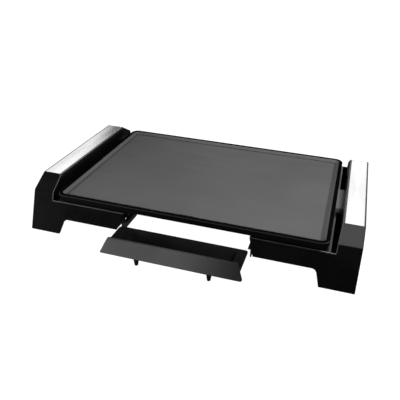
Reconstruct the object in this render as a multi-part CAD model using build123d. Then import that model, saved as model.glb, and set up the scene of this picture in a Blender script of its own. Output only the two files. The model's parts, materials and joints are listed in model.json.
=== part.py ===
from build123d import *
import math
import os

# Table-top electric griddle with a slide-out drip tray and a socket for a plug-in heat control.
# Millimetres, +Z up, +X to the right, the front faces -Y.
# Every function below works about the centre of the cooking plate. SHIFT_Y then moves the
# finished parts so that the origin is the centre of the footprint, on the table.

# ---- shared ----
FUSE = 0.2                  # joined volumes reach this far into each other
PAST = 1.0                  # a cutting tool runs this far past the faces that it cuts
REACH = 300.0               # further than any side of the base
FIT = 0.05                  # play around a fixed round piece
GAP = 0.3                   # gap between two mouldings that are screwed together

# ---- cooking plate ----
PLATE_W = 435.0             # outer width, left to right
PLATE_D = 316.0             # outer depth, front to back
PLATE_CORNER_R = 15.0
RIM_TOP_Z = 68.0            # highest point of the raised rim
RIM_LAND = 6.5              # width of the land on top of the rim
SURFACE_Z = 64.0            # flat cooking surface
WALL_TAPER = 45.0           # degrees, slope of the inside of the rim and of the groove's sides
GROOVE_W = 5.0              # drain groove at the foot of the rim
GROOVE_DEPTH = 0.9
GROOVE_CORNER_R = 1.5
SKIRT_WALL = 9.0            # thick edge of the casting, outside its hollow underside
UNDER_CORNER_R = 6.0
BLIND_TOP_Z = 62.2          # tops of the blind screw holes in the casting
UNDERSIDE_Z = 59.0          # underside of the casting
SKIRT_BOTTOM_Z = 57.8       # lower edge of the plate's outer skirt
SKIRT_TAPER = 7.0
DRAIN_SLOT = (24.0, 5.0)    # through slot in the front groove, above the drip tray
DRAIN_SLOT_Y = -145.0

# ---- base moulding ----
WALL = 3.0
CAP_OUTER_X = 262.6         # outer side of the end caps
CAP_INNER_X = 227.5         # inner side of the end caps, below the fold
CAP_TOP_INNER_X = 229.7     # the same side at the top: it leans outwards
CAP_TOP_Z = 82.4
FOLD_Z = 64.3               # where the front facet of a cap meets its raked face
FACE_FOOT_Y = -170.0        # front face at table level
FACE_RISE = 0.35            # the front face leans back this much per millimetre of height
TOP_FRONT_Y = -115.4        # front edge of the flat top of a cap
MID_Y = 6.0                 # middle of the base, front to back
RAIL_TOP_Z = 51.3
RAIL_BOTTOM_Z = 25.1
RAIL_DEPTH_Y = -128.0       # back of the front rails
LEDGE_OUTER_X = 220.0       # carrier ledge beside the plate
LEDGE_INNER_X = 196.0
CHANNEL_FLOOR_Z = 30.0      # floor of the deep slot between ledge and cap
LEG_FOOT_X = 211.0          # inner edge of a front leg, at the table
LEG_TOP_X = 203.5           # inner edge of a front leg, under the rail
LEG_CORNER_R = 8.0
LEG_BOTTOM_Z = 1.0
CUT_TOP_X = 101.6           # drawer cut-out, half width at the top of the rail
CUT_BOTTOM_X = 110.5        # and at its lower edge
SIDE_ARCH_HALF = 126.0      # hand grip in the outer side wall, half length
SIDE_ARCH_Z = 24.0
ARCH_SLOPE = 8.0            # the hand grip widens by this much, each way, down to the table
ARCH_CORNER_R = 9.0
EDGE_R = 1.4
FOLD_EDGE_R = 3.0
TOP_EDGE_R = 1.0
EDGE_BEVEL = 0.6            # depth of the bevel on a cap's edges towards the plate and on the front rails
CAP_POST_W = 9.0            # corner posts of a cap's inner wall, below the channel floor
INLET = 1.0                 # inner walls run this far into an outer wall

# ---- steel strips ----
TRIM_INNER_X = 232.7
TRIM_OUTER_X = 260.2
TRIM_FRONT_Y = -114.9
TRIM_BACK_Y = 127.0
TRIM_T = 0.8
TRIM_EDGE = 0.25
TRIM_PLAY = 0.1
TRIM_TAB = (8.0, 0.8, 5.0)  # folded tabs that pass through the cap's top
TRIM_TAB_PARTS = (0.14, 0.36, 0.64, 0.86)   # their places along the strip
TAB_PLAY = 0.2

# ---- bottom covers and feet ----
COVER_Z = 24.0
COVER_T = 2.5
COVER_END_PLAY = 1.3
CAP_MID_X = 245.0
FOOT_OFFSET_Y = 152.0       # feet, each way from the middle of the base
POST_R = 8.5
FOOT_R = 7.5
FOOT_H = 3.2
FOOT_EDGE = 0.6
FOOT_STUD = (3.0, 6.0)      # radius and height of the stud on a rubber foot
BOSS_R = 4.0
BOSS_OFFSET_Y = 96.0
BOSS_HOLE_TOP_Z = 40.0
COVER_SCREW_TOP_Z = 38.0
SCREW_R = 1.9
SCREW_HOLE_R = SCREW_R + FIT
SCREW_HEAD = (3.4, 2.0)     # radius and height of the cover and guide screws' heads
RECESS = (0.62, 0.2, 1.0)   # cross recess: half length and half width in head radii, and depth

# ---- heater and control socket ----
ELEMENT_R = 3.5
ELEMENT_Z = 55.2
ELEMENT_BEND_R = 18.0
ELEMENT_RIB_W = 13.0
PIN_SPACING = 32.0
PIN_R = 2.4
PIN_TIP = 0.9               # chamfer at the end of a pin
SHEATH_END_X = 236.0
BEAD_R = 3.2
BEAD_END_X = 239.0
PIN_END_X = 254.0
SLEEVE_R = 3.7
SLEEVE_BORE_R = 2.9
SLEEVE_INNER_X = 140.0
SLEEVE_BOTTOM = 4.0         # closed inner end of the sleeve
SLEEVE_PAD_HALF = 8.0       # rib that the sleeve is bedded in
BED_PLAY = 0.02             # the heater and the sleeve are cast in, with this much play
ELEMENT_TURN_X = 168.0      # where the heater tube turns away from the terminals
ELEMENT_LEFT_X = -178.0
ELEMENT_HALF_Y = 118.0      # outer loop, half depth
INNER_LOOP = (110.0, 44.0)  # inner loop: x of its right end, half depth
RIB_REACH = (200.0, 150.0)
RIB_END_X = 188.0
BRACKET_X = 190.0
BRACKET_T = 1.2
BRACKET_HALF = 40.0
BRACKET_BOTTOM_Z = 47.5
BRACKET_GAP = 0.1           # below the underside of the casting
BRACKET_SCREW = (184.0, 33.0)   # x, and distance each way from the middle of the base
BRACKET_EAR = (6.0, 7.0)    # an ear reaches this far past its screw's centre, in x and in y
SMALL_SCREW_R = 1.5
SMALL_HEAD = (2.8, 1.8)
BRIDGE_HALF = 36.0          # half length of the cover over the terminals
BRIDGE_TOP_Z = 60.0
BRIDGE_INNER_X = 216.9
BRIDGE_WALL = 2.0
BRIDGE_ROOF = 1.0
BRIDGE_EDGE_R = 1.5
SOCKET_HALF = 30.0
SOCKET_Z = (43.0, 67.4)
SOCKET_WALL = 2.4
SOCKET_BACK = 2.2           # wall that the pins pass through
SOCKET_CORNER_R = 3.0

# ---- plate fixings ----
FIXING_X = 206.0
FIXING_Y = 118.0
SPACER_R = 7.0
FIXING_R = 2.45
FIXING_HOLE_R = FIXING_R + FIT
FIXING_HEAD = (4.5, 3.0)
FIXING_HEX = (2.3, 1.8)     # hexagon socket of the screw: corner radius and depth
FIXING_TOP_Z = 61.5

# ---- drip tray ----
TRAY_OUT = 64.0             # how far the tray is pulled out at rest
PANEL_TOP = (98.7, 46.7)    # half width and height of the front panel's upper edge
PANEL_BOTTOM = (108.9, 23.6)
PANEL_T = 3.0
PANEL_RETURN = 8.0
PANEL_END_R = 3.5
PANEL_EDGE_R = 1.2
PANEL_SHELL = 2.2           # wall of the panel's top and end returns
TRAY_HALF = 103.5           # half width over the side flanges
TRAY_CORNER_R = 5.0
TRAY_NOTCH = (3.0, 5.4)     # front corners cut out of the flanges, to clear the panel's ends
TRAY_RIM_Z = 33.0
TRAY_FLANGE_T = 1.5
TRAY_FRONT_Y = -154.8       # all tray depths are for the tray pushed home
TRAY_BACK_Y = -95.5
BASIN_HALF = 88.5
BASIN_FRONT_Y = -150.4
BASIN_BACK_Y = -100.0
BASIN_DEPTH = 17.2
BASIN_TAPER = 20.0
BASIN_WALL = 1.7
BASIN_CORNER_R = 10.0
TRAY_PEG_X = 57.0
TRAY_PEG_Y = (-142.5, -110.0)
TRAY_PEG_R = (4.8, 2.7)
TRAY_PEG_BOTTOM_Z = 0.8
TAB_TOP_Z = 43.0            # upright tab of the tray behind the front panel
TAB_HALF = 80.0
TAB_T = 2.0
TAB_SCREWS_X = (-62.0, 0.0, 62.0)
TAB_SCREW_Z = 38.5
TAB_SCREW_R = 1.4
TAB_SCREW_BITE = 1.6        # how far the screws reach into the panel

# ---- tray guides ----
GUIDE_WALL_X = 104.5
GUIDE_T = 2.0
GUIDE_LIP_X = 100.5
GUIDE_LIP_Z = (29.0, 30.9)
GUIDE_TOP_Z = 47.5
GUIDE_BOTTOM_Z = 16.0
GUIDE_FRONT_Y = -149.8
GUIDE_BACK_Y = -93.2
GUIDE_FLANGE_X = 126.0
GUIDE_FLANGE_T = 2.5
GUIDE_GAP = 0.1             # between the flange and the rail
GUIDE_STOP_Z = 40.0         # top of the stop behind the closed tray
GUIDE_SCREW_X = 118.0
GUIDE_SCREW_Z = (36.0, 43.5)
GUIDE_SCREW_L = 9.6

FACE_LEN = math.hypot(1.0, FACE_RISE)
FACE_N = Vector(0, -1.0 / FACE_LEN, FACE_RISE / FACE_LEN)
# local X runs left to right, local Y climbs the raked face, local Z points out of it
FACE = Plane(origin=(0, FACE_FOOT_Y, 0), x_dir=(1, 0, 0), z_dir=FACE_N)
BACK_FOOT_Y = 2 * MID_Y - FACE_FOOT_Y


def face_y(z):
    """Depth of the raked front face at a height."""
    return FACE_FOOT_Y + FACE_RISE * z


def up(z):
    """Distance along the raked face that reaches a height."""
    return z * FACE_LEN


FRONT_REACH_Y = face_y(PANEL_BOTTOM[1]) - TRAY_OUT
SHIFT_Y = -(FRONT_REACH_Y + BACK_FOOT_Y) / 2


def block(x0, x1, y0, y1, z0, z1):
    """Plain block between two corners."""
    middle = ((x0 + x1) / 2, (y0 + y1) / 2, (z0 + z1) / 2)
    return Pos(*middle) * Box(abs(x1 - x0), abs(y1 - y0), abs(z1 - z0))


def yz_prism(points, x0, x1):
    """Side profile, given as (y, z) points, drawn out from x0 to x1."""
    profile = Plane.YZ.offset(x0) * make_face(Polyline(*points, close=True))
    return extrude(profile, x1 - x0)


def xz_prism(points, y0, y1):
    """Front profile, given as (x, z) points, drawn out from y0 to y1."""
    profile = Plane.XZ.offset(-y1) * make_face(Polyline(*points, close=True))
    return extrude(profile, y1 - y0)


def rod_x(x0, x1, y, z, r):
    """Round bar along X."""
    return Pos((x0 + x1) / 2, y, z) * Rot(0, 90, 0) * Cylinder(r, abs(x1 - x0))


def rod_y(x, y0, y1, z, r):
    """Round bar along Y."""
    return Pos(x, (y0 + y1) / 2, z) * Rot(90, 0, 0) * Cylinder(r, abs(y1 - y0))


def rod_z(x, y, z0, z1, r):
    """Round bar along Z."""
    return Pos(x, y, (z0 + z1) / 2) * Cylinder(r, abs(z1 - z0))


def to_back(shape):
    """Mirror image of a front feature at the back of the base."""
    return mirror(shape, Plane.XZ.offset(-MID_Y))


def to_left(shape):
    """Mirror image of a right-hand feature on the left."""
    return mirror(shape, Plane.YZ)


def joined(pieces):
    """Union of a list of shapes that share faces or volume."""
    result = pieces[0]
    for piece in pieces[1:]:
        result = result + piece
    return result


def without(body, tools):
    """A body less each tool of a list."""
    for tool in tools:
        body = body - tool
    return body


def screw(head, shank_r, length):
    """Screw along +Z with a cross recess: the underside of its head is at the origin."""
    head_r, head_h = head
    long, narrow, deep = RECESS
    arm = Box(2 * long * head_r, 2 * narrow * head_r, 2 * deep)
    cross = Pos(0, 0, -head_h) * (arm + Rot(0, 0, 90) * arm)
    body = Pos(0, 0, -head_h / 2) * Cylinder(head_r, head_h)
    return body + rod_z(0, 0, -FUSE, length, shank_r) - cross


def fixing_places():
    """The four screws that hold the plate on the ledges."""
    return [(x, MID_Y + y) for x in (-FIXING_X, FIXING_X) for y in (-FIXING_Y, FIXING_Y)]


def bracket_screw_places():
    """The two screws of the terminal bracket."""
    x, offset = BRACKET_SCREW
    return [(x, MID_Y - offset), (x, MID_Y + offset)]


# ---------------------------------------------------------------- cooking plate

def element_path():
    """Centre line of the heater tube: one folded loop that starts and ends at the terminals."""
    near = PIN_SPACING / 2
    inner_x, inner_y = INNER_LOOP
    half = [(SHEATH_END_X, near), (ELEMENT_TURN_X, near), (ELEMENT_TURN_X, ELEMENT_HALF_Y),
            (ELEMENT_LEFT_X, ELEMENT_HALF_Y), (ELEMENT_LEFT_X, inner_y), (inner_x, inner_y)]
    back = [(x, -y) for x, y in reversed(half)]
    points = [(x, MID_Y + y, ELEMENT_Z) for x, y in half + back]
    return FilletPolyline(*points, radius=ELEMENT_BEND_R)


def element_tube(radius):
    """Round bar along the heater's centre line."""
    path = element_path()
    start = Plane(origin=path @ 0, z_dir=path % 0)
    return sweep(start * Circle(radius), path)


def plate_pocket():
    """Inside of the raised rim, and the drain groove at its foot."""
    mouth_w = PLATE_W - 2 * RIM_LAND
    mouth_d = PLATE_D - 2 * RIM_LAND
    mouth_r = PLATE_CORNER_R - RIM_LAND
    depth = RIM_TOP_Z - SURFACE_Z
    mouth = Pos(0, 0, RIM_TOP_Z) * RectangleRounded(mouth_w, mouth_d, mouth_r)
    pocket = extrude(mouth, depth, dir=(0, 0, -1), taper=WALL_TAPER)
    run = depth * math.tan(math.radians(WALL_TAPER))
    foot_w = mouth_w - 2 * run
    foot_d = mouth_d - 2 * run
    foot = RectangleRounded(foot_w, foot_d, mouth_r - run)
    inside = RectangleRounded(foot_w - 2 * GROOVE_W, foot_d - 2 * GROOVE_W, GROOVE_CORNER_R)
    surface = Pos(0, 0, SURFACE_Z)
    sunk = extrude(surface * foot, GROOVE_DEPTH, dir=(0, 0, -1), taper=WALL_TAPER)
    island = extrude(surface * inside, GROOVE_DEPTH, dir=(0, 0, -1), taper=-WALL_TAPER)
    return [pocket, sunk - island]


def plate_underside():
    """Raised beds under the casting for the heater, the probe sleeve and the fixings."""
    top = UNDERSIDE_Z + FUSE
    reach_x, reach_y = RIB_REACH
    ribs = extrude(trace(element_path(), ELEMENT_RIB_W), top - ELEMENT_Z)
    ribs = ribs & block(-reach_x, RIB_END_X, -reach_y, reach_y, ELEMENT_Z - PAST, top)
    pad = block(SLEEVE_INNER_X - SLEEVE_PAD_HALF, RIB_END_X, MID_Y - SLEEVE_PAD_HALF,
                MID_Y + SLEEVE_PAD_HALF, ELEMENT_Z, top)
    seats = [rod_z(x, y, SKIRT_BOTTOM_Z, top, SPACER_R) for x, y in fixing_places()]
    return [ribs, pad] + seats


def griddle_plate():
    outer = Pos(0, 0, RIM_TOP_Z) * RectangleRounded(PLATE_W, PLATE_D, PLATE_CORNER_R)
    body = extrude(outer, RIM_TOP_Z - SKIRT_BOTTOM_Z, dir=(0, 0, -1), taper=SKIRT_TAPER)
    body = fillet(body.faces().sort_by(Axis.Z)[-1].edges(), EDGE_R)
    hollow = RectangleRounded(PLATE_W - 2 * SKIRT_WALL, PLATE_D - 2 * SKIRT_WALL, UNDER_CORNER_R)
    under = extrude(Pos(0, 0, SKIRT_BOTTOM_Z - PAST) * hollow, UNDERSIDE_Z - SKIRT_BOTTOM_Z + PAST)
    body = without(body, plate_pocket() + [under])
    body = joined([body] + plate_underside())

    cuts = [rod_z(x, y, SKIRT_BOTTOM_Z - PAST, BLIND_TOP_Z, FIXING_HOLE_R) for x, y in fixing_places()]
    for x, y in bracket_screw_places():
        cuts.append(rod_z(x, y, SKIRT_BOTTOM_Z, BLIND_TOP_Z, SMALL_SCREW_R + FIT))
    slot_x, slot_y = DRAIN_SLOT
    cuts.append(block(-slot_x / 2, slot_x / 2, DRAIN_SLOT_Y - slot_y / 2, DRAIN_SLOT_Y + slot_y / 2,
                      SKIRT_BOTTOM_Z - PAST, SURFACE_Z + PAST))
    cuts.append(element_tube(ELEMENT_R + BED_PLAY))
    cuts.append(rod_x(SLEEVE_INNER_X - PAST, SHEATH_END_X, MID_Y, ELEMENT_Z, SLEEVE_R))
    return without(body, cuts)


def heating_element():
    return element_tube(ELEMENT_R)


def terminal_beads():
    return [rod_x(SHEATH_END_X, BEAD_END_X, MID_Y + s * PIN_SPACING / 2, ELEMENT_Z, BEAD_R)
            for s in (-1, 1)]


def terminal_pins():
    pins = []
    for s in (-1, 1):
        pin = rod_x(BEAD_END_X, PIN_END_X, MID_Y + s * PIN_SPACING / 2, ELEMENT_Z, PIN_R)
        tip = pin.faces().sort_by(Axis.X)[-1]
        pins.append(chamfer(tip.edges(), PIN_TIP))
    return pins


def probe_sleeve():
    tube = rod_x(SLEEVE_INNER_X, SHEATH_END_X, MID_Y, ELEMENT_Z, SLEEVE_R - BED_PLAY)
    bore = rod_x(SLEEVE_INNER_X + SLEEVE_BOTTOM, SHEATH_END_X + PAST, MID_Y, ELEMENT_Z, SLEEVE_BORE_R)
    return tube - bore


def terminal_holes(x0, x1, play):
    """Round holes for the two heater ends and, between them, the probe sleeve."""
    holes = [rod_x(x0, x1, MID_Y + s * PIN_SPACING / 2, ELEMENT_Z, ELEMENT_R + play) for s in (-1, 1)]
    return holes + [rod_x(x0, x1, MID_Y, ELEMENT_Z, SLEEVE_R + play)]


def terminal_bracket():
    """Steel angle under the plate that holds the two heater ends and the probe sleeve."""
    top = UNDERSIDE_Z - BRACKET_GAP
    ear_x, ear_y = BRACKET_EAR
    plate = block(BRACKET_X, BRACKET_X + BRACKET_T, MID_Y - BRACKET_HALF, MID_Y + BRACKET_HALF,
                  BRACKET_BOTTOM_Z, top)
    cuts = terminal_holes(BRACKET_X - PAST, BRACKET_X + BRACKET_T + PAST, FIT)
    for s, (x, y) in zip((-1, 1), bracket_screw_places()):
        plate = plate + block(x - ear_x, BRACKET_X + BRACKET_T, y - s * ear_y, MID_Y + s * BRACKET_HALF,
                              top - BRACKET_T, top)
        cuts.append(rod_z(x, y, top - BRACKET_T - PAST, top + PAST, SMALL_SCREW_R + 2 * FIT))
    return without(plate, cuts)


def bracket_screws():
    seat = UNDERSIDE_Z - BRACKET_GAP - BRACKET_T
    one = screw(SMALL_HEAD, SMALL_SCREW_R, BLIND_TOP_Z - FUSE - seat)
    return [Pos(x, y, seat) * one for x, y in bracket_screw_places()]


# ---------------------------------------------------------------- base moulding

def cap_profile(inset):
    """Side outline of an end cap, with an even inset: (y, z) points, front then back."""
    facet = math.atan2(CAP_TOP_Z - FOLD_Z, TOP_FRONT_Y - face_y(FOLD_Z))
    face = math.atan2(1.0, FACE_RISE)
    # an inset corner lies on the bisector of its two sides
    fold = (face + facet + math.pi) / 2
    fold_step = inset / math.cos((face - facet) / 2)
    front = [
        (face_y(0) + inset * FACE_LEN, 0.0),
        (face_y(FOLD_Z) - fold_step * math.cos(fold), FOLD_Z - fold_step * math.sin(fold)),
        (TOP_FRONT_Y + inset * math.tan(facet / 2), CAP_TOP_Z - inset),
    ]
    back = [(2 * MID_Y - y, z) for y, z in reversed(front)]
    return front + back


def half_space(point, normal, depth):
    """Everything beyond a plane that lies this deep under a point of an edge."""
    normal = normal.normalized()
    beyond = Pos(0, 0, REACH) * Box(4 * REACH, 4 * REACH, 2 * REACH)
    return Plane(origin=point - normal * depth, z_dir=normal) * beyond


def inner_bevels():
    """Cuts that bevel a hood's edges towards the plate."""
    facet = math.atan2(CAP_TOP_Z - FOLD_Z, TOP_FRONT_Y - face_y(FOLD_Z))
    lean = math.atan2(CAP_TOP_INNER_X - CAP_INNER_X, CAP_TOP_Z - FOLD_Z)
    upright = Vector(-1, 0, 0)
    leaning = Vector(-math.cos(lean), 0, math.sin(lean))
    fold = Vector(CAP_INNER_X, face_y(FOLD_Z), FOLD_Z)
    top = Vector(CAP_TOP_INNER_X, TOP_FRONT_Y, CAP_TOP_Z)
    front = [
        half_space(fold, upright + FACE_N, EDGE_BEVEL),
        half_space(fold, leaning + Vector(0, -math.sin(facet), math.cos(facet)), EDGE_BEVEL),
    ]
    return front + [to_back(cut) for cut in front] + [half_space(top, leaning + Vector(0, 0, 1), EDGE_BEVEL)]


def cap_shell():
    """Right-hand end cap: a raked, faceted hood, hollow from below."""
    outline = cap_profile(0.0)
    hood = yz_prism(outline, CAP_INNER_X, CAP_OUTER_X)
    hood = fillet(hood.edges().filter_by(Axis.X).group_by(Axis.Z)[1], FOLD_EDGE_R)
    hood = fillet(hood.edges().filter_by(Axis.X).group_by(Axis.Z)[-1], TOP_EDGE_R)
    lean = [(CAP_INNER_X - PAST, FOLD_Z), (CAP_INNER_X, FOLD_Z), (CAP_TOP_INNER_X, CAP_TOP_Z),
            (CAP_TOP_INNER_X, CAP_TOP_Z + PAST), (CAP_INNER_X - PAST, CAP_TOP_Z + PAST)]
    hood = hood - xz_prism(lean, -REACH, REACH)
    hood = without(hood, inner_bevels())
    outer_edges = hood.faces().sort_by(Axis.X)[-1].edges()
    rim_edges = [e for e in outer_edges if e.center().Z > LEG_BOTTOM_Z]
    hood = fillet(rim_edges, EDGE_R)
    room = yz_prism(cap_profile(WALL), CAP_INNER_X + WALL, CAP_OUTER_X - WALL)
    post = face_y(0) + WALL * FACE_LEN + CAP_POST_W
    low = block(CAP_INNER_X - PAST, CAP_OUTER_X - WALL, post, 2 * MID_Y - post, -PAST, CHANNEL_FLOOR_Z - WALL)
    half = SIDE_ARCH_HALF
    arch = [(MID_Y - half - ARCH_SLOPE, -PAST), (MID_Y - half, SIDE_ARCH_Z), (MID_Y + half, SIDE_ARCH_Z),
            (MID_Y + half + ARCH_SLOPE, -PAST)]
    opening = yz_prism(arch, CAP_OUTER_X - 2 * WALL, CAP_OUTER_X + PAST)
    corners = opening.edges().filter_by(Axis.X).group_by(Axis.Z)[-1]
    return without(hood, [room, low, fillet(corners, ARCH_CORNER_R)])


def front_wall():
    """Right half of the front: leg, and rail as far as the drawer cut-out."""
    points = [
        (LEG_FOOT_X, 0), (CAP_OUTER_X - EDGE_R, 0), (CAP_OUTER_X - EDGE_R, up(RAIL_TOP_Z)),
        (CUT_TOP_X, up(RAIL_TOP_Z)), (CUT_BOTTOM_X, up(RAIL_BOTTOM_Z)), (LEG_TOP_X, up(RAIL_BOTTOM_Z)),
    ]
    outline = make_face(Polyline(*points, close=True))
    inner_corner = [v for v in outline.vertices() if abs(v.X - LEG_TOP_X) < 0.01]
    outline = fillet(inner_corner, LEG_CORNER_R)
    return extrude(FACE * outline, -WALL)


def rail_box(x0, x1):
    """Hollow rail behind a length of the front wall: top and rear wall."""
    top = yz_prism([(face_y(RAIL_TOP_Z), RAIL_TOP_Z), (face_y(RAIL_TOP_Z - WALL), RAIL_TOP_Z - WALL),
                    (RAIL_DEPTH_Y, RAIL_TOP_Z - WALL), (RAIL_DEPTH_Y, RAIL_TOP_Z)], x0, x1)
    rear = block(x0, x1, RAIL_DEPTH_Y - WALL, RAIL_DEPTH_Y, CHANNEL_FLOOR_Z - WALL, RAIL_TOP_Z)
    return top + rear


def cut_x(z):
    """Half width of the drawer cut-out at a height."""
    slope = (CUT_BOTTOM_X - CUT_TOP_X) / (RAIL_TOP_Z - RAIL_BOTTOM_Z)
    return CUT_TOP_X + slope * (RAIL_TOP_Z - z)


def rail_end():
    """Sloping end wall of the right front rail, at the drawer cut-out."""
    slab = xz_prism([(CUT_TOP_X, RAIL_TOP_Z), (CUT_BOTTOM_X, RAIL_BOTTOM_Z),
                     (CUT_BOTTOM_X + WALL, RAIL_BOTTOM_Z), (CUT_TOP_X + WALL, RAIL_TOP_Z)],
                    FACE_FOOT_Y, RAIL_DEPTH_Y)
    behind = yz_prism([(face_y(0), 0), (face_y(RAIL_TOP_Z), RAIL_TOP_Z), (RAIL_DEPTH_Y, RAIL_TOP_Z),
                       (RAIL_DEPTH_Y, 0)], CUT_TOP_X, CUT_BOTTOM_X + WALL)
    return slab & behind


def side_carrier():
    """Ledge beside the plate and the deep slot that joins it to the right end cap."""
    y0 = RAIL_DEPTH_Y - WALL
    y1 = 2 * MID_Y - y0
    front = face_y(RAIL_TOP_Z)
    back = 2 * MID_Y - front
    low = face_y(CHANNEL_FLOOR_Z) + INLET
    floor = block(LEDGE_OUTER_X - WALL, CAP_INNER_X + WALL, low, 2 * MID_Y - low,
                  CHANNEL_FLOOR_Z - WALL, CHANNEL_FLOOR_Z)
    slot_wall = block(LEDGE_OUTER_X - WALL, LEDGE_OUTER_X, front + INLET, back - INLET,
                      CHANNEL_FLOOR_Z - WALL, RAIL_TOP_Z)
    ledge = block(LEDGE_INNER_X, LEDGE_OUTER_X, y0, y1, RAIL_TOP_Z - WALL, RAIL_TOP_Z)
    inner = block(LEDGE_INNER_X, LEDGE_INNER_X + WALL, y0, y1, CHANNEL_FLOOR_Z - WALL, RAIL_TOP_Z)
    return [floor, slot_wall, ledge, inner]


def cover_bosses():
    """Screw bosses that hang from the top of the right end cap."""
    return [rod_z(CAP_MID_X, MID_Y + s * BOSS_OFFSET_Y, COVER_Z + COVER_T, CAP_TOP_Z - WALL + FUSE, BOSS_R)
            for s in (-1, 1)]


def rear_half():
    """Right half of the back: rail, and wall with its leg."""
    points = [
        (0, up(RAIL_BOTTOM_Z)), (LEG_TOP_X, up(RAIL_BOTTOM_Z)), (LEG_FOOT_X, 0),
        (CAP_OUTER_X - EDGE_R, 0), (CAP_OUTER_X - EDGE_R, up(RAIL_TOP_Z)), (0, up(RAIL_TOP_Z)),
    ]
    outline = make_face(Polyline(*points, close=True))
    inner_corner = [v for v in outline.vertices() if abs(v.X - LEG_TOP_X) < 0.01]
    wall = extrude(FACE * fillet(inner_corner, LEG_CORNER_R), -WALL)
    return [to_back(rail_box(0, LEDGE_OUTER_X)), to_back(wall)]


def carrier_cuts():
    """Slot between ledge and cap, opening for the drawer, and holes for the plate's fixings."""
    above = RAIL_TOP_Z + WALL
    floor = CHANNEL_FLOOR_Z
    inner_face = WALL * FACE_LEN
    slot = [(face_y(floor) + inner_face, floor), (face_y(above) + inner_face, above)]
    slot += [(2 * MID_Y - y, z) for y, z in reversed(slot)]
    low = RAIL_BOTTOM_Z - WALL
    drawer = [(-PAST, low), (cut_x(low), low), (cut_x(above), above), (-PAST, above)]
    cuts = [
        yz_prism(slot, LEDGE_OUTER_X, CAP_INNER_X),
        xz_prism(drawer, FACE_FOOT_Y - PAST, RAIL_DEPTH_Y + PAST),
    ]
    for z in GUIDE_SCREW_Z:
        cuts.append(rod_y(GUIDE_SCREW_X, RAIL_DEPTH_Y - GUIDE_SCREW_L, RAIL_DEPTH_Y + PAST, z, SCREW_HOLE_R))
    for s in (-1, 1):
        cuts.append(rod_z(FIXING_X, MID_Y + s * FIXING_Y, RAIL_TOP_Z - WALL - PAST, above, FIXING_HOLE_R))
    return cuts


def cap_cuts():
    """Recess and slots for the steel strip, screw holes of the cover, and the foot line."""
    tab_x, tab_y = TRIM_TAB[0] / 2 + TAB_PLAY, TRIM_TAB[1] / 2 + TAB_PLAY
    cuts = [
        block(TRIM_INNER_X, TRIM_OUTER_X, TRIM_FRONT_Y, TRIM_BACK_Y, CAP_TOP_Z - TRIM_T, CAP_TOP_Z + PAST),
        block(0, CAP_OUTER_X + PAST, -REACH, REACH, -PAST, LEG_BOTTOM_Z),
    ]
    for y in trim_tab_places():
        cuts.append(block(CAP_MID_X - tab_x, CAP_MID_X + tab_x, y - tab_y, y + tab_y,
                          CAP_TOP_Z - 2 * WALL, CAP_TOP_Z))
    for s in (-1, 1):
        cuts.append(rod_z(CAP_MID_X, MID_Y + s * BOSS_OFFSET_Y, COVER_Z, BOSS_HOLE_TOP_Z, SCREW_HOLE_R))
    return cuts


def half_base():
    """Right half of the base moulding."""
    front = [front_wall(), rail_box(CUT_TOP_X + INLET, LEDGE_OUTER_X), rail_end()]
    body = joined([cap_shell()] + front + rear_half() + side_carrier() + cover_bosses())
    return without(body, carrier_cuts() + cap_cuts())


def control_openings():
    """Mouth for the plug-in heat control, and the window that its terminals pass through."""
    mouth = block(CAP_OUTER_X - 2 * WALL, CAP_OUTER_X + PAST, MID_Y - SOCKET_HALF + SOCKET_WALL,
                  MID_Y + SOCKET_HALF - SOCKET_WALL, SOCKET_Z[0] + SOCKET_WALL, SOCKET_Z[1] - SOCKET_WALL)
    mouth = fillet(mouth.edges().filter_by(Axis.X), SOCKET_CORNER_R)
    window = block(CAP_INNER_X - PAST, CAP_INNER_X + WALL + PAST, MID_Y - BRIDGE_HALF - TAB_PLAY,
                   MID_Y + BRIDGE_HALF + TAB_PLAY, RAIL_TOP_Z, BRIDGE_TOP_Z + TAB_PLAY)
    return [mouth, window]


def base_lengths():
    """The base moulding, divided into seven lengths that meet face to face."""
    half = half_base()
    top = CAP_TOP_Z + PAST
    back_y = 2 * MID_Y - RAIL_DEPTH_Y
    cap = block(CAP_INNER_X, CAP_OUTER_X + PAST, -REACH, REACH, 0, top)
    front = block(0, CAP_INNER_X, -REACH, RAIL_DEPTH_Y, 0, top)
    rear = block(0, CAP_INNER_X, back_y, REACH, 0, top)
    ledge = block(0, CAP_INNER_X, RAIL_DEPTH_Y, back_y, 0, top)
    end_cap = half & cap
    rail_edge = Vector(0, face_y(RAIL_TOP_Z), RAIL_TOP_Z)
    front_rail = (half & front) - half_space(rail_edge, FACE_N + Vector(0, 0, 1), EDGE_BEVEL)
    side_ledge = half & ledge
    rear_half_rail = half & rear
    return {
        "end_cap_right": without(end_cap, control_openings()),
        "end_cap_left": to_left(end_cap),
        "front_rail_right": front_rail,
        "front_rail_left": to_left(front_rail),
        "side_ledge_right": side_ledge,
        "side_ledge_left": to_left(side_ledge),
        "rear_rail": rear_half_rail + to_left(rear_half_rail),
    }


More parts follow.
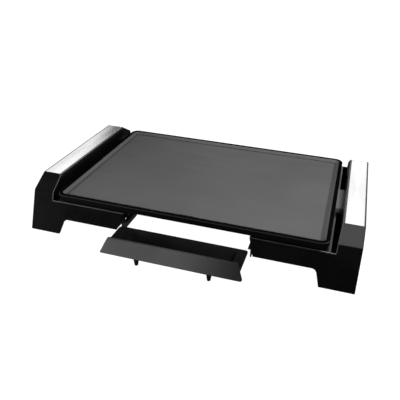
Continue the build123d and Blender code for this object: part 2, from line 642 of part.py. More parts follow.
def control_socket():
    """Cover over the terminals, and the tunnel that takes the plug-in heat control."""
    x_wall = CAP_INNER_X + WALL + GAP
    x_bore = x_wall + SOCKET_BACK
    x_end = CAP_OUTER_X - WALL - TAB_PLAY
    y0, y1 = MID_Y - BRIDGE_HALF, MID_Y + BRIDGE_HALF
    z0, z1 = SOCKET_Z
    cover = block(BRIDGE_INNER_X, x_wall, y0, y1, RAIL_TOP_Z + TRIM_PLAY, BRIDGE_TOP_Z)
    cover = fillet(cover.edges().filter_by(Axis.X).group_by(Axis.Z)[-1], BRIDGE_EDGE_R)
    room = block(BRIDGE_INNER_X - PAST, x_wall, y0 + BRIDGE_WALL, y1 - BRIDGE_WALL,
                 RAIL_TOP_Z - PAST, BRIDGE_TOP_Z - BRIDGE_ROOF)
    wall = block(x_wall, x_bore, y0, y1, z0, z1)
    tunnel = block(x_wall, x_end, MID_Y - SOCKET_HALF, MID_Y + SOCKET_HALF, z0, z1)
    bore = block(x_bore, x_end + PAST, MID_Y - SOCKET_HALF + SOCKET_WALL,
                 MID_Y + SOCKET_HALF - SOCKET_WALL, z0 + SOCKET_WALL, z1 - SOCKET_WALL)
    bore = fillet(bore.edges().filter_by(Axis.X), SOCKET_CORNER_R)
    body = (cover - room) + wall + tunnel - bore
    return without(body, terminal_holes(x_wall - PAST, x_bore + PAST, 2 * FIT))


def trim_tab_places():
    length = TRIM_BACK_Y - TRIM_FRONT_Y
    return [TRIM_FRONT_Y + length * part for part in TRIM_TAB_PARTS]


def end_trim():
    """Right-hand steel strip with its folded tabs."""
    tab_x, tab_y, tab_z = TRIM_TAB
    strip = block(TRIM_INNER_X + TRIM_PLAY, TRIM_OUTER_X - TRIM_PLAY, TRIM_FRONT_Y + TRIM_PLAY,
                  TRIM_BACK_Y - TRIM_PLAY, CAP_TOP_Z - TRIM_T, CAP_TOP_Z)
    strip = chamfer(strip.faces().sort_by(Axis.Z)[-1].edges(), TRIM_EDGE)
    tabs = [block(CAP_MID_X - tab_x / 2, CAP_MID_X + tab_x / 2, y - tab_y / 2, y + tab_y / 2,
                  CAP_TOP_Z - TRIM_T - tab_z, CAP_TOP_Z - TRIM_T + FUSE) for y in trim_tab_places()]
    return joined([strip] + tabs)


def end_cover():
    """Right-hand bottom cover with a hollow post for each foot."""
    y0 = face_y(COVER_Z) + WALL * FACE_LEN + COVER_END_PLAY
    x0 = CAP_INNER_X + WALL + GAP
    x1 = CAP_OUTER_X - WALL - GAP
    stud_r, stud_h = FOOT_STUD
    plate = block(x0, x1, y0, 2 * MID_Y - y0, COVER_Z, COVER_Z + COVER_T)
    for s in (-1, 1):
        y = MID_Y + s * FOOT_OFFSET_Y
        plate = plate + rod_z(CAP_MID_X, y, FOOT_H, COVER_Z + FUSE, POST_R)
        plate = plate - rod_z(CAP_MID_X, y, 0, FOOT_H + stud_h + FUSE, stud_r + FIT)
        plate = plate - rod_z(CAP_MID_X, MID_Y + s * BOSS_OFFSET_Y, COVER_Z - PAST,
                              COVER_Z + COVER_T + PAST, SCREW_R + 3 * FIT)
    return plate


def cover_screws():
    one = screw(SCREW_HEAD, SCREW_R, COVER_SCREW_TOP_Z - COVER_Z)
    return [Pos(x, MID_Y + y, COVER_Z) * one for x in (-CAP_MID_X, CAP_MID_X)
            for y in (-BOSS_OFFSET_Y, BOSS_OFFSET_Y)]


def rubber_foot(x, y):
    stud_r, stud_h = FOOT_STUD
    pad = rod_z(x, y, 0, FOOT_H - FIT, FOOT_R)
    pad = chamfer(pad.faces().sort_by(Axis.Z)[0].edges(), FOOT_EDGE)
    return pad + rod_z(x, y, FOOT_H - 2 * FUSE, FOOT_H + stud_h, stud_r)


def spacers():
    rings = []
    for x, y in fixing_places():
        ring = rod_z(x, y, RAIL_TOP_Z, SKIRT_BOTTOM_Z, SPACER_R - GAP)
        rings.append(ring - rod_z(x, y, RAIL_TOP_Z - PAST, SKIRT_BOTTOM_Z + PAST, FIXING_HOLE_R + FIT))
    return rings


def plate_screws():
    head_r, head_h = FIXING_HEAD
    hex_r, hex_h = FIXING_HEX
    under = RAIL_TOP_Z - WALL
    screws = []
    for x, y in fixing_places():
        head = rod_z(x, y, under - head_h, under, head_r)
        hexagon = extrude(Pos(x, y, under - head_h) * RegularPolygon(hex_r, 6), hex_h)
        screws.append(head - hexagon + rod_z(x, y, under - FUSE, FIXING_TOP_Z, FIXING_R))
    return screws


# ---------------------------------------------------------------- tray guides

def tray_guide():
    """Right-hand guide with a lip that carries the tray, screwed to the back of the front rail."""
    lip_z, lip_top = GUIDE_LIP_Z
    x_out = GUIDE_WALL_X + GUIDE_T
    y_rail = RAIL_DEPTH_Y + GUIDE_GAP
    lip = block(GUIDE_LIP_X, x_out, GUIDE_FRONT_Y, GUIDE_BACK_Y, lip_z, lip_top)
    skirt = block(GUIDE_WALL_X, x_out, GUIDE_FRONT_Y, GUIDE_BACK_Y, GUIDE_BOTTOM_Z, lip_top)
    wall = block(GUIDE_WALL_X, x_out, y_rail, GUIDE_BACK_Y, lip_z, GUIDE_TOP_Z)
    flange = block(GUIDE_WALL_X, GUIDE_FLANGE_X, y_rail, y_rail + GUIDE_FLANGE_T, lip_z, GUIDE_TOP_Z)
    stop = block(GUIDE_LIP_X, x_out, GUIDE_BACK_Y - GUIDE_T, GUIDE_BACK_Y, lip_z, GUIDE_STOP_Z)
    holes = [rod_y(GUIDE_SCREW_X, y_rail - PAST, y_rail + GUIDE_FLANGE_T + PAST, z, SCREW_HOLE_R + 2 * FIT)
             for z in GUIDE_SCREW_Z]
    return without(joined([lip, skirt, wall, flange, stop]), holes)


def guide_screws():
    seat = RAIL_DEPTH_Y + GUIDE_GAP + GUIDE_FLANGE_T
    one = Rot(90, 0, 0) * screw(SCREW_HEAD, SCREW_R, GUIDE_SCREW_L)
    return [Pos(x, seat, z) * one for x in (-GUIDE_SCREW_X, GUIDE_SCREW_X) for z in GUIDE_SCREW_Z]


# ---------------------------------------------------------------- drip tray

def tray_tab():
    """Upright tab of the tray, flat against the back of the raked front panel."""
    low, high = up(TRAY_RIM_Z - TRAY_FLANGE_T + FUSE), up(TAB_TOP_Z)
    outline = Pos(0, (low + high) / 2) * Rectangle(2 * TAB_HALF, high - low)
    return extrude(FACE.offset(-PANEL_T) * outline, -TAB_T)


def tray_pegs():
    """Four tapered pegs under the basin."""
    low_r, high_r = TRAY_PEG_R[1], TRAY_PEG_R[0]
    top = TRAY_RIM_Z - BASIN_DEPTH - BASIN_WALL + 2 * FUSE
    peg = Cone(low_r, high_r, top - TRAY_PEG_BOTTOM_Z)
    mid_z = (top + TRAY_PEG_BOTTOM_Z) / 2
    return [Pos(x, y, mid_z) * peg for y in TRAY_PEG_Y for x in (-TRAY_PEG_X, TRAY_PEG_X)]


def tray_basin():
    """Shallow basin with side flanges, pegs to stand on and a tab for the front panel."""
    depth = TRAY_BACK_Y - TRAY_FRONT_Y
    outline = RectangleRounded(2 * TRAY_HALF, depth, TRAY_CORNER_R)
    flange = Pos(0, TRAY_FRONT_Y + depth / 2, TRAY_RIM_Z - TRAY_FLANGE_T) * outline
    bowl_d = BASIN_BACK_Y - BASIN_FRONT_Y
    place = Pos(0, BASIN_FRONT_Y + bowl_d / 2, TRAY_RIM_Z)
    bowl = place * RectangleRounded(2 * BASIN_HALF, bowl_d, BASIN_CORNER_R)
    wider = place * RectangleRounded(2 * (BASIN_HALF + BASIN_WALL), bowl_d + 2 * BASIN_WALL,
                                     BASIN_CORNER_R + BASIN_WALL)
    hull = extrude(wider, BASIN_DEPTH + BASIN_WALL, dir=(0, 0, -1), taper=BASIN_TAPER)
    notch_x, notch_y = TRAY_NOTCH
    corners = [block(s * (TRAY_HALF - notch_x), s * (TRAY_HALF + PAST), TRAY_FRONT_Y - PAST,
                     TRAY_FRONT_Y + notch_y, TRAY_RIM_Z - TRAY_FLANGE_T - PAST, TRAY_RIM_Z + PAST)
               for s in (-1, 1)]
    body = without(extrude(flange, TRAY_FLANGE_T), corners)
    body = joined([body, hull, tray_tab()] + tray_pegs())
    holes = [tab_screw_place(x) * Cylinder(TAB_SCREW_R + 4 * FIT, 4 * TAB_T) for x in TAB_SCREWS_X]
    return without(body, [extrude(bowl, BASIN_DEPTH, dir=(0, 0, -1), taper=BASIN_TAPER)] + holes)


def tab_screw_place(x):
    """Frame of a panel screw: Z points out of the raked face, origin on the panel's back."""
    return FACE.offset(-PANEL_T) * Pos(x, up(TAB_SCREW_Z))


def panel_outline(inset, drop):
    """Trapezoid of the front panel on the raked face, inset at its top and ends, longer at its foot."""
    top_x, top_y = PANEL_TOP[0] - inset, up(PANEL_TOP[1]) - inset
    low_x, low_y = PANEL_BOTTOM[0] - inset, up(PANEL_BOTTOM[1]) - drop
    points = [(-low_x, low_y), (low_x, low_y), (top_x, top_y), (-top_x, top_y)]
    return make_face(Polyline(*points, close=True))


def tray_front():
    """Raked front panel with a top and two end returns."""
    solid = extrude(panel_outline(0, 0), -PANEL_RETURN)
    ends = [e for e in solid.faces().sort_by(Axis.Z)[-1].edges() if abs(e.center().X) > TAB_HALF]
    solid = fillet(ends, PANEL_END_R)
    long_edges = [e for e in solid.faces().sort_by(Axis.Z)[-1].edges() if abs(e.center().X) < TAB_HALF]
    solid = fillet(long_edges, PANEL_EDGE_R)
    inside = extrude(Pos(0, 0, -PANEL_T) * panel_outline(PANEL_SHELL, PAST), -PANEL_RETURN)
    holes = [tab_screw_place(x) * Cylinder(TAB_SCREW_R + FIT, 2 * (TAB_SCREW_BITE + FUSE))
             for x in TAB_SCREWS_X]
    return without(FACE * (solid - inside), holes)


def tray_screws():
    one = Pos(0, 0, -TAB_T) * screw(SMALL_HEAD, TAB_SCREW_R, TAB_T + TAB_SCREW_BITE)
    return [tab_screw_place(x) * one for x in TAB_SCREWS_X]


# ---------------------------------------------------------------- output

def save(name, shape, slide=0.0):
    """Write one node, moved into the frame of the whole griddle."""
    place = Pos(0, SHIFT_Y - slide, 0)
    solids = []
    for item in shape if isinstance(shape, list) else [shape]:
        solids.extend((place * item).solids())
    export_step(solids[0] if len(solids) == 1 else Compound(children=solids), f"parts/{name}.step")


def main():
    os.makedirs("parts", exist_ok=True)
    for name, length in base_lengths().items():
        save(name, length)
    save("end_trim_right", end_trim())
    save("end_trim_left", to_left(end_trim()))
    save("end_cover_right", end_cover())
    save("end_cover_left", to_left(end_cover()))
    save("cover_screws", cover_screws())
    for end, y in (("front", MID_Y - FOOT_OFFSET_Y), ("rear", MID_Y + FOOT_OFFSET_Y)):
        save(f"foot_{end}_right", rubber_foot(CAP_MID_X, y))
        save(f"foot_{end}_left", rubber_foot(-CAP_MID_X, y))
    save("griddle_plate", griddle_plate())
    save("plate_spacers", spacers())
    save("plate_screws", plate_screws())
    save("heating_element", heating_element())
    save("terminal_beads", terminal_beads())
    save("terminal_pins", terminal_pins())
    save("probe_sleeve", probe_sleeve())
    save("terminal_bracket", terminal_bracket())
    save("bracket_screws", bracket_screws())
    save("control_socket", control_socket())
    save("tray_guide_right", tray_guide())
    save("tray_guide_left", to_left(tray_guide()))
    save("guide_screws", guide_screws())
    save("drip_tray", tray_basin(), TRAY_OUT)
    save("drip_tray_front", tray_front(), TRAY_OUT)
    save("tray_front_screws", tray_screws(), TRAY_OUT)


main()
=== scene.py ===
import bpy
import json
import math
from mathutils import Matrix, Vector


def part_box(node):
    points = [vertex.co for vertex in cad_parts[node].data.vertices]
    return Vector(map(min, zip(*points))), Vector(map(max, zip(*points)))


# Looks of a table-top electric griddle: black plastic base with two faceted end caps, steel strips,
# a cast plate with a non-stick coating and a pulled-out drip tray. Metres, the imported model's frame.
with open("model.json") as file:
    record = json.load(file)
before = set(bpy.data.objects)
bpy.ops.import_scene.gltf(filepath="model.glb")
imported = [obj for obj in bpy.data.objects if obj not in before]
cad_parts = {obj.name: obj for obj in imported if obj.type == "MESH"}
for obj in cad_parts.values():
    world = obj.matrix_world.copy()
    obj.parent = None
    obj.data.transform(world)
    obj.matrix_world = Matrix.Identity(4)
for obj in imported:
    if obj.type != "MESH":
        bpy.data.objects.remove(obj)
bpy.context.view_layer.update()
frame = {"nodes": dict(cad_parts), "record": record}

MM = 0.001

# ---- camera: the place and aim that show the griddle from the front, right and above ----
CAMERA_PLACE = (0.2070, -0.7630, 0.4545)
CAMERA_YAW = 0.282          # turned this far towards the left end
CAMERA_PITCH = -0.494       # looks down
CAMERA_ROLL = -0.036
CAMERA_LENS = 45.75         # millimetres, on a 36 mm sensor

# ---- plate zones, worked out from the plate's box ----
plate_low, plate_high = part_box("griddle_plate")
RIM_LAND = 6.5 * MM         # flat land of the rim, with its rounded edge
RIM_DROP = 0.5 * MM         # the black land ends this far below the rim's top
SURFACE = 64.0 * MM         # height of the cooking surface
GROOVE_FLOOR = 63.1 * MM    # height of the bottom of the groove around it

# ---- zones of the base moulding ----
RAIL_TOP = 51.3 * MM
FACE_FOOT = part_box("end_cap_right")[0].y
FACE_RISE = 0.35            # the front face leans back this much per unit of height
CAP_FOLD = 64.3 * MM        # height where the caps' front facet starts
CAP_INNER = 227.5 * MM      # inner side of the end caps
CAP_LEAN = 0.1215           # above the fold that side leans outwards this much per unit of height
SLOT_MIDDLE = 223.7 * MM    # middle of the slot between ledge and cap
EDGE_PAINTED_HIGHLIGHT = 0.038           # painted highlight: lighter colour on the bevelled edges, for the highlight that they catch
FACE_GLOSS = 0.04           # specular level of the base's upright faces
TOP_GLOSS = 0.55            # and of its ledges and of the caps above the fold

# ---- painted shade: the panel's tone falls off towards its right end ----
PANEL_SHADE_PAINTED = 0.75
PANEL_SHADE_PAINTED_SPAN = (10 * MM, 110 * MM)
PANEL_SHADE_PAINTED_TONE = 0.001

# ---- stage ----
WORLD_LEVEL = 0.05          # brightness of the surroundings in what surfaces see; white for the camera
FLOOR_HALF = 60.0           # half the floor's side, far enough to fill every view
FLOOR_LEVEL = -0.2 * MM     # just below the feet


# ---------------------------------------------------------------- material helpers

class Graph:
    """Short names for the shader nodes that the materials below share."""

    def __init__(self, name):
        self.material = bpy.data.materials.new(name)
        self.material.use_nodes = True
        self.nodes = self.material.node_tree.nodes
        self.links = self.material.node_tree.links
        self.shader = self.nodes["Principled BSDF"]
        self.place = self.nodes.new("ShaderNodeTexCoord").outputs["Object"]

    def feed(self, socket, value):
        """Link an output to a socket, or set the socket's own number."""
        if isinstance(value, bpy.types.NodeSocket):
            self.links.new(value, socket)
        else:
            socket.default_value = value

    def setup(self, **values):
        """Set or link the main shader's sockets by name."""
        for name, value in values.items():
            self.feed(self.shader.inputs[name.replace("_", " ")], value)

    def math(self, operation, a, b=0.0):
        node = self.nodes.new("ShaderNodeMath")
        node.operation = operation
        self.feed(node.inputs[0], a)
        self.feed(node.inputs[1], b)
        return node.outputs[0]

    def axes(self, vector):
        node = self.nodes.new("ShaderNodeSeparateXYZ")
        self.links.new(vector, node.inputs[0])
        return node.outputs

    def stretched(self, scale):
        """Object coordinates, scaled by a different factor along each axis."""
        node = self.nodes.new("ShaderNodeMapping")
        self.links.new(self.place, node.inputs["Vector"])
        node.inputs["Scale"].default_value = scale
        return node.outputs[0]

    def noise(self, size, detail=3.0, roughness=0.5, stretch=(1.0, 1.0, 1.0)):
        """Noise whose blobs are about this size, in metres."""
        node = self.nodes.new("ShaderNodeTexNoise")
        self.links.new(self.stretched(stretch), node.inputs["Vector"])
        node.inputs["Scale"].default_value = 1.0 / size
        node.inputs["Detail"].default_value = detail
        node.inputs["Roughness"].default_value = roughness
        return node.outputs["Fac"]

    def spots(self, size):
        """Distance to the nearest of many scattered points, in cells of this size."""
        node = self.nodes.new("ShaderNodeTexVoronoi")
        self.links.new(self.place, node.inputs["Vector"])
        node.inputs["Scale"].default_value = 1.0 / size
        node.inputs["Randomness"].default_value = 1.0
        return node.outputs["Distance"]

    def fit(self, value, low, high, to_low=0.0, to_high=1.0, smooth=True):
        """Map a value's range onto another range."""
        node = self.nodes.new("ShaderNodeMapRange")
        node.interpolation_type = "SMOOTHSTEP" if smooth else "LINEAR"
        self.feed(node.inputs["Value"], value)
        node.inputs["From Min"].default_value = low
        node.inputs["From Max"].default_value = high
        node.inputs["To Min"].default_value = to_low
        node.inputs["To Max"].default_value = to_high
        return node.outputs["Result"]

    def blend(self, factor, a, b):
        """Mix of two colours."""
        node = self.nodes.new("ShaderNodeMix")
        node.data_type = "RGBA"
        self.feed(node.inputs["Factor"], factor)
        self.feed(node.inputs[6], rgba(a))
        self.feed(node.inputs[7], rgba(b))
        return node.outputs[2]

    def bump(self, height, distance):
        """Normals of a relief whose full height is this distance."""
        node = self.nodes.new("ShaderNodeBump")
        node.inputs["Strength"].default_value = 1.0
        node.inputs["Distance"].default_value = distance
        self.links.new(height, node.inputs["Height"])
        return node.outputs["Normal"]


def rgba(color):
    """A grey level or an (r, g, b) colour as a socket value; outputs pass through."""
    if isinstance(color, bpy.types.NodeSocket):
        return color
    if isinstance(color, (int, float)):
        return (color, color, color, 1.0)
    return (*color, 1.0)


# ---------------------------------------------------------------- materials

def moulded_grain(g):
    """Slow drift of tone with a fine spark-eroded texture, and that texture alone."""
    drift = g.noise(60 * MM, detail=2.0)
    speck = g.noise(0.5 * MM, detail=2.0, roughness=0.6)
    return g.math("ADD", g.math("MULTIPLY", drift, 0.7), g.math("MULTIPLY", speck, 0.3)), speck


def moulded_plastic(name, dark, light, gloss, specular, depth=0.02 * MM, painted_shade=0.0):
    """Moulded plastic between two tones; the last argument is how far painted shade darkens it towards
    the right end.
    """
    g = Graph(name)
    tone, speck = moulded_grain(g)
    x, _, _ = g.axes(g.place)
    color = g.blend(g.fit(tone, 0.35, 0.65), dark, light)
    # painted shade: the colour darkens towards the right end by the last argument
    g.setup(
        Base_Color=g.blend(g.fit(x, *PANEL_SHADE_PAINTED_SPAN, 0.0, painted_shade), color, PANEL_SHADE_PAINTED_TONE),
        Roughness=g.fit(tone, 0.3, 0.7, gloss * 0.9, gloss * 1.15),
        Normal=g.bump(speck, depth),
    )
    g.shader.inputs["Specular IOR Level"].default_value = specular
    return g.material


def shell_plastic():
    """Black plastic of the base: polished ledges and cap tops, dull faces, unlit slots, painted
    highlights on the bevelled edges.
    """
    g = Graph("base_black")
    x, y, z = g.axes(g.place)
    side = g.math("ABSOLUTE", x)
    tone, speck = moulded_grain(g)
    ledge = g.math("MULTIPLY", g.fit(z, RAIL_TOP - 1.2 * MM, RAIL_TOP - 0.4 * MM),
                   g.fit(side, CAP_INNER - 0.3 * MM, CAP_INNER + 0.3 * MM, 1.0, 0.0))
    polished = g.math("MAXIMUM", ledge, g.fit(z, CAP_FOLD - 0.3 * MM, CAP_FOLD + 0.3 * MM))
    behind_face = g.math("SUBTRACT", g.math("SUBTRACT", y, FACE_FOOT), g.math("MULTIPLY", z, FACE_RISE))
    # painted highlight along the front rail's top edge
    rail_painted_highlight = g.math("MULTIPLY", g.fit(behind_face, 0.7 * MM, 1.1 * MM, 1.0, 0.0), ledge)
    lean = g.math("MULTIPLY", g.math("MAXIMUM", g.math("SUBTRACT", z, CAP_FOLD), 0.0), CAP_LEAN)
    inward = g.math("SUBTRACT", g.math("SUBTRACT", side, CAP_INNER), lean)
    # painted highlight along the caps' inner edges, above the rail top
    cap_painted_highlight = g.math("MULTIPLY", g.fit(inward, 0.05 * MM, 0.2 * MM),
                      g.fit(inward, 0.7 * MM, 1.0 * MM, 1.0, 0.0))
    cap_painted_highlight = g.math("MULTIPLY", cap_painted_highlight, g.fit(z, RAIL_TOP, RAIL_TOP + 0.5 * MM))
    painted_highlights = g.math("MAXIMUM", rail_painted_highlight, cap_painted_highlight)
    slot = g.fit(g.math("ABSOLUTE", g.math("SUBTRACT", side, SLOT_MIDDLE)), 4.6 * MM, 5.0 * MM, 0.0, 1.0)
    open_side = g.math("MAXIMUM", slot, g.fit(behind_face, 5.0 * MM, 6.0 * MM, 1.0, 0.0))
    dull = g.math("MULTIPLY", open_side, FACE_GLOSS)
    # the bevelled edges take the painted highlight colour
    g.setup(
        Base_Color=g.blend(painted_highlights, g.blend(g.fit(tone, 0.35, 0.65), 0.0008, 0.0014), EDGE_PAINTED_HIGHLIGHT),
        Roughness=g.fit(tone, 0.3, 0.7, 0.26, 0.33),
        Specular_IOR_Level=g.math("MAXIMUM", g.math("MULTIPLY", polished, TOP_GLOSS), dull),
        Normal=g.bump(speck, 0.012 * MM),
    )
    return g.material


def plate_coating():
    """Satin non-stick coating inside the rim, deep black on the rim's land and the skirt, with a painted
    highlight along the rim's rounded outer edge.
    """
    g = Graph("plate_coating")
    x, y, z = g.axes(g.place)
    half_x = (plate_high.x - plate_low.x) / 2 - RIM_LAND
    half_y = (plate_high.y - plate_low.y) / 2 - RIM_LAND
    mid_y = (plate_high.y + plate_low.y) / 2
    inside_x = g.fit(g.math("ABSOLUTE", x), half_x - 0.3 * MM, half_x + 0.3 * MM, 1.0, 0.0)
    inside_y = g.fit(g.math("ABSOLUTE", g.math("SUBTRACT", y, mid_y)), half_y - 0.3 * MM,
                     half_y + 0.3 * MM, 1.0, 0.0)
    below = g.fit(z, plate_high.z - RIM_DROP, plate_high.z - 0.1 * MM, 1.0, 0.0)
    above = g.fit(z, plate_low.z + 1.5 * MM, plate_low.z + 2.5 * MM)
    inside = g.math("MULTIPLY", inside_x, inside_y)
    satin = g.math("MULTIPLY", inside, g.math("MULTIPLY", below, above))
    outside = g.math("SUBTRACT", 1.0, inside)
    # painted highlight: a lighter band just under the rim's top on its outer side, weaker along the front
    # and back
    rim_painted_highlight = g.math("MULTIPLY", g.fit(z, plate_high.z - 1.5 * MM, plate_high.z - 1.0 * MM),
                  g.fit(z, plate_high.z - 0.4 * MM, plate_high.z - 0.15 * MM, 1.0, 0.0))
    rim_painted_highlight = g.math("MULTIPLY", g.math("MULTIPLY", rim_painted_highlight, outside), g.fit(inside_x, 0.0, 1.0, 1.0, 0.25))
    speck = g.noise(0.45 * MM, detail=2.0, roughness=0.65)
    drift = g.noise(90 * MM, detail=3.0)
    wipe = g.noise(30 * MM, detail=4.0, roughness=0.6, stretch=(0.25, 1.0, 1.0))
    flake = g.fit(g.spots(1.1 * MM), 0.0, 0.16, 1.0, 0.0)
    tone = g.math("ADD", g.math("MULTIPLY", speck, 0.55), g.math("MULTIPLY", drift, 0.45))
    grey = g.blend(g.fit(tone, 0.3, 0.7), 0.043, 0.052)
    grey = g.blend(g.math("MULTIPLY", flake, 0.12), grey, 0.11)
    # painted shade: the colour darkens towards the bottom of the groove around the cooking surface
    grey = g.blend(g.fit(z, GROOVE_FLOOR, SURFACE - 0.05 * MM, 0.55, 0.0), grey, 0.01)
    g.setup(
        Base_Color=g.blend(satin, g.blend(rim_painted_highlight, 0.0012, 0.026), grey),
        Roughness=g.math("ADD", g.fit(satin, 0.0, 1.0, 0.16, 0.44, smooth=False),
                         g.fit(wipe, 0.35, 0.65, -0.03, 0.04)),
        Specular_IOR_Level=g.fit(satin, 0.0, 1.0, 0.0, 0.08, smooth=False),
        Normal=g.bump(speck, 0.03 * MM),
    )
    return g.material


def brushed_steel():
    """Stainless strip, brushed along its length."""
    g = Graph("brushed_trim")
    fine = g.noise(0.22 * MM, detail=3.0, roughness=0.7, stretch=(1.0, 0.012, 1.0))
    broad = g.noise(1.6 * MM, detail=2.0, stretch=(1.0, 0.03, 1.0))
    cloud = g.noise(120 * MM, detail=1.0)
    line = g.math("ADD", g.math("MULTIPLY", fine, 0.6), g.math("MULTIPLY", broad, 0.4))
    g.setup(
        Base_Color=g.blend(g.fit(line, 0.3, 0.7), (0.84, 0.84, 0.84), (0.91, 0.91, 0.91)),
        Roughness=g.math("ADD", g.fit(line, 0.3, 0.7, 0.24, 0.28), g.fit(cloud, 0.3, 0.7, -0.01, 0.01)),
        Normal=g.bump(line, 0.003 * MM),
    )
    g.shader.inputs["Metallic"].default_value = 1.0
    g.shader.inputs["Anisotropic"].default_value = 0.5
    return g.material


def plated_steel(name, color, roughness, streak=0.5):
    """Plated or heat-tinted steel with faint streaks and stains."""
    g = Graph(name)
    stain = g.noise(9 * MM, detail=4.0, roughness=0.6)
    fine = g.noise(0.4 * MM, detail=2.0)
    darker = tuple(value * (1.0 - 0.35 * streak) for value in color)
    g.setup(
        Base_Color=g.blend(g.fit(stain, 0.3, 0.7), darker, color),
        Roughness=g.math("ADD", g.fit(stain, 0.3, 0.7, roughness * 1.3, roughness * 0.85),
                         g.fit(fine, 0.3, 0.7, -0.03, 0.03)),
        Normal=g.bump(fine, 0.01 * MM),
    )
    g.shader.inputs["Metallic"].default_value = 1.0
    return g.material


def ceramic():
    """Unglazed ceramic of the terminal beads."""
    g = Graph("bead_ceramic")
    grain = g.noise(0.5 * MM, detail=3.0)
    g.setup(
        Base_Color=g.blend(g.fit(grain, 0.3, 0.7), (0.72, 0.69, 0.63), (0.86, 0.84, 0.79)),
        Roughness=g.fit(grain, 0.3, 0.7, 0.55, 0.75),
        Normal=g.bump(grain, 0.03 * MM),
    )
    return g.material


def foot_rubber():
    """Matt rubber with a fine moulded grain."""
    g = Graph("foot_rubber")
    grain = g.noise(0.35 * MM, detail=2.0, roughness=0.7)
    dust = g.noise(5 * MM, detail=4.0)
    g.setup(
        Base_Color=g.blend(g.fit(dust, 0.45, 0.75), 0.018, 0.04),
        Roughness=g.fit(grain, 0.3, 0.7, 0.72, 0.9),
        Normal=g.bump(grain, 0.04 * MM),
    )
    g.shader.inputs["Specular IOR Level"].default_value = 0.35
    return g.material


def floor_finish():
    """White studio floor, clear when seen from below."""
    g = Graph("studio_floor")
    grain = g.noise(400 * MM, detail=2.0)
    g.setup(Base_Color=g.blend(grain, 0.06, 0.08), Roughness=g.fit(grain, 0.3, 0.7, 0.75, 0.85))
    g.shader.inputs["Emission Color"].default_value = (1.0, 1.0, 1.0, 1.0)
    g.shader.inputs["Emission Strength"].default_value = 1.0
    below = g.nodes.new("ShaderNodeNewGeometry").outputs["Backfacing"]
    clear = g.nodes.new("ShaderNodeBsdfTransparent")
    mix = g.nodes.new("ShaderNodeMixShader")
    g.links.new(below, mix.inputs[0])
    g.links.new(g.shader.outputs[0], mix.inputs[1])
    g.links.new(clear.outputs[0], mix.inputs[2])
    g.links.new(mix.outputs[0], g.nodes["Material Output"].inputs["Surface"])
    return g.material


def finish(node, material):
    """Give a CAD node a better material in place of its own."""
    for slot in frame["nodes"][node].material_slots:
        slot.link = "OBJECT"
        slot.material = material


# ---------------------------------------------------------------- the object's finishes

def dress():
    """Better materials for all nodes, looked up by the slot that the record gives each."""
    looks = {
        "black_plastic": shell_plastic(),
        # the panel carries painted shade towards its right end
        "panel_plastic": moulded_plastic("panel_black", 0.020, 0.024, 0.42, 0.15, painted_shade=PANEL_SHADE_PAINTED),
        "tray_plastic": moulded_plastic("tray_black", 0.0025, 0.004, 0.34, 0.12),
        "cover_plastic": moulded_plastic("cover_black", 0.012, 0.018, 0.55, 0.3, depth=0.04 * MM),
        "socket_phenolic": moulded_plastic("socket_phenolic", 0.05, 0.07, 0.45, 0.35),
        "spacer_phenolic": moulded_plastic("spacer_phenolic", (0.10, 0.055, 0.03), (0.15, 0.09, 0.05),
                                           0.5, 0.4),
        "nonstick_coating": plate_coating(),
        "brushed_trim": brushed_steel(),
        "screw_steel": plated_steel("screw_steel", (0.62, 0.62, 0.63), 0.28),
        "pin_steel": plated_steel("pin_steel", (0.78, 0.77, 0.74), 0.16, streak=0.2),
        "heater_sheath": plated_steel("heater_sheath", (0.36, 0.32, 0.29), 0.38),
        "zinc_steel": plated_steel("zinc_steel", (0.60, 0.62, 0.66), 0.32),
        "bead_ceramic": ceramic(),
        "foot_rubber": foot_rubber(),
    }
    for part in frame["record"]["subparts"]:
        finish(part["node"], looks[part["material_slot"]])


# ---------------------------------------------------------------- stage, lights and camera

def studio_floor():
    """Large square floor that highlights don't show."""
    half, low = FLOOR_HALF, FLOOR_LEVEL
    mesh = bpy.data.meshes.new("studio_floor")
    mesh.from_pydata([(-half, -half, low), (half, -half, low), (half, half, low), (-half, half, low)], [],
                     [(0, 1, 2, 3)])
    floor = bpy.data.objects.new("studio_floor", mesh)
    bpy.context.scene.collection.objects.link(floor)
    mesh.materials.append(floor_finish())
    floor.visible_glossy = False


def softbox(name, place, aim, size, power, mirrored=True):
    """Rectangular area light that faces a point; unmirrored ones leave no highlight."""
    data = bpy.data.lights.new(name, "AREA")
    data.shape = "RECTANGLE"
    data.size, data.size_y = size
    data.energy = power
    lamp = bpy.data.objects.new(name, data)
    lamp.location = place
    lamp.rotation_euler = (Vector(aim) - Vector(place)).to_track_quat("-Z", "Y").to_euler()
    lamp.visible_camera = False
    lamp.visible_glossy = mirrored
    bpy.context.scene.collection.objects.link(lamp)


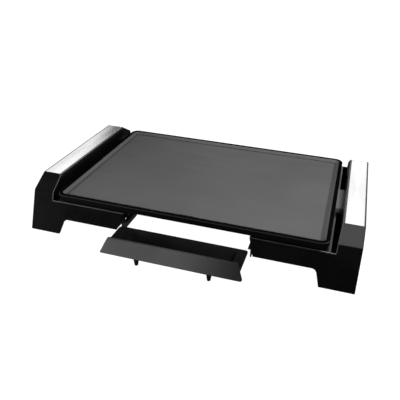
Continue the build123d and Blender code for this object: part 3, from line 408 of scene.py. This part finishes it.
def dark_surroundings():
    """World that is white for the camera and nearly dark for everything else."""
    world = bpy.data.worlds.new("studio")
    bpy.context.scene.world = world
    world.use_nodes = True
    nodes, links = world.node_tree.nodes, world.node_tree.links
    background = nodes["Background"]
    background.inputs["Color"].default_value = (1.0, 1.0, 1.0, 1.0)
    seen = nodes.new("ShaderNodeLightPath").outputs["Is Camera Ray"]
    level = nodes.new("ShaderNodeMath")
    level.operation = "MULTIPLY_ADD"
    level.inputs[1].default_value = 1.0 - WORLD_LEVEL
    level.inputs[2].default_value = WORLD_LEVEL
    links.new(seen, level.inputs[0])
    links.new(level.outputs[0], background.inputs["Strength"])


def lights():
    """Key and low left light for the tones, the others for what the shiny parts mirror."""
    softbox("key", (0.55, -0.50, 0.95), (0.1, 0.0, 0.05), (0.4, 0.4), 30.0, mirrored=False)
    softbox("top", (0.27, -0.15, 1.05), (0.27, -0.14, 0.05), (0.6, 0.5), 1.7)
    softbox("back", (0.5, 2.4, 1.35), (0.1, 0.0, 0.05), (3.2, 1.2), 16.0)
    softbox("back_left", (-2.05, 2.3, 1.45), (-0.2, 0.0, 0.08), (1.2, 1.0), 5.0)
    softbox("front_left", (-0.45, -0.45, 0.10), (-0.1, -0.2, 0.03), (0.25, 0.15), 7.6, mirrored=False)
    softbox("front", (0.0, -2.6, 1.3), (0.0, 0.0, 0.05), (3.2, 1.2), 9.0)
    softbox("right", (2.7, -0.2, 1.3), (0.0, 0.0, 0.05), (1.8, 1.2), 6.0)
    softbox("left", (-2.7, -0.4, 1.3), (0.0, 0.0, 0.05), (1.6, 1.2), 6.0)


def camera():
    """Camera built from its place, its three turns and its lens."""
    yaw, pitch, roll = CAMERA_YAW, CAMERA_PITCH, CAMERA_ROLL
    ahead = Vector((-math.sin(yaw) * math.cos(pitch), math.cos(yaw) * math.cos(pitch), math.sin(pitch)))
    side = Vector((math.cos(yaw), math.sin(yaw), 0.0))
    down = ahead.cross(side)
    right = side * math.cos(roll) + down * math.sin(roll)
    lower = down * math.cos(roll) - side * math.sin(roll)
    turn = Matrix((right, -lower, -ahead)).transposed()
    data = bpy.data.cameras.new("photo_camera")
    data.lens = CAMERA_LENS
    data.sensor_width = 36.0
    cam = bpy.data.objects.new("photo_camera", data)
    cam.matrix_world = Matrix.Translation(CAMERA_PLACE) @ turn.to_4x4()
    bpy.context.scene.collection.objects.link(cam)
    bpy.context.scene.camera = cam


camera()
dress()
studio_floor()
dark_surroundings()
lights()
bpy.context.scene.view_settings.view_transform = "Standard"
